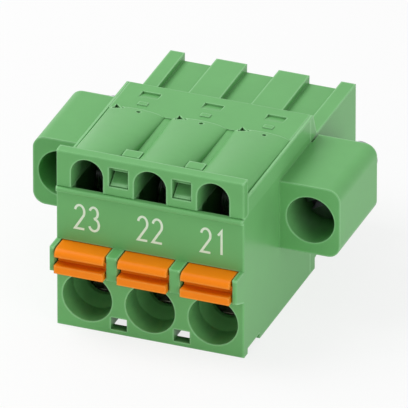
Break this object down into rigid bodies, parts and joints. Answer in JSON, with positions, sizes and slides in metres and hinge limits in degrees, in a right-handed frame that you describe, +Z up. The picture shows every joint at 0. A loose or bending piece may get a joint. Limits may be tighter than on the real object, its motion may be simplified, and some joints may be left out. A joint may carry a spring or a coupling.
{
  "type": "pluggable terminal block",
  "caption": "Green pluggable terminal block with spring clamps, orange release levers, round wire funnels and a screw flange at each end.",
  "frame": {"origin": "on the plane of the flat bottom, under the middle of the overall box", "axes": "+Z up, +Y from the wire side towards the plug end, X across the poles"},
  "size_m": [0.0248, 0.0256, 0.0149],
  "materials": {
    "green_plastic": "satin moulded",
    "orange_plastic": "satin moulded",
    "tinned_copper": "tin plated",
    "spring_steel": "rolled",
    "plated_steel": "zinc plated"
  },
  "bodies": {
    "block": {"housing": "green_plastic", "top_cover": "green_plastic", "contact_carrier": "green_plastic", "current_bar_1": "tinned_copper", "clamp_spring_1": "spring_steel", "over_spring_1": "spring_steel", "current_bar_2": "tinned_copper", "clamp_spring_2": "spring_steel", "over_spring_2": "spring_steel", "current_bar_3": "tinned_copper", "clamp_spring_3": "spring_steel", "over_spring_3": "spring_steel"},
    "lever_1_body": {"lever_1": "orange_plastic"},
    "lever_2_body": {"lever_2": "orange_plastic"},
    "lever_3_body": {"lever_3": "orange_plastic"},
    "screw_left": {"flange_screw_left": "plated_steel"},
    "screw_right": {"flange_screw_right": "plated_steel"}
  },
  "joints": [
    {"name": "lever_1_press", "type": "slide", "parent": "block", "child": "lever_1_body", "axis": [0, 1, 0], "range_m": [0, 0.0012], "stiffness_N_per_m": 400, "springref_m": -0.0005, "deforming": ["clamp_spring_1"]},
    {"name": "lever_2_press", "type": "slide", "parent": "block", "child": "lever_2_body", "axis": [0, 1, 0], "range_m": [0, 0.0012], "stiffness_N_per_m": 400, "springref_m": -0.0005, "deforming": ["clamp_spring_2"]},
    {"name": "lever_3_press", "type": "slide", "parent": "block", "child": "lever_3_body", "axis": [0, 1, 0], "range_m": [0, 0.0012], "stiffness_N_per_m": 400, "springref_m": -0.0005, "deforming": ["clamp_spring_3"]},
    {"name": "flange_screw_left_turn", "type": "hinge", "parent": "block", "child": "screw_left", "pos_m": [-0.01003, 0.00305, 0.00855], "axis": [0, 1, 0], "continuous": true},
    {"name": "flange_screw_right_turn", "type": "hinge", "parent": "block", "child": "screw_right", "pos_m": [0.01003, 0.00305, 0.00855], "axis": [0, 1, 0], "continuous": true}
  ]
}
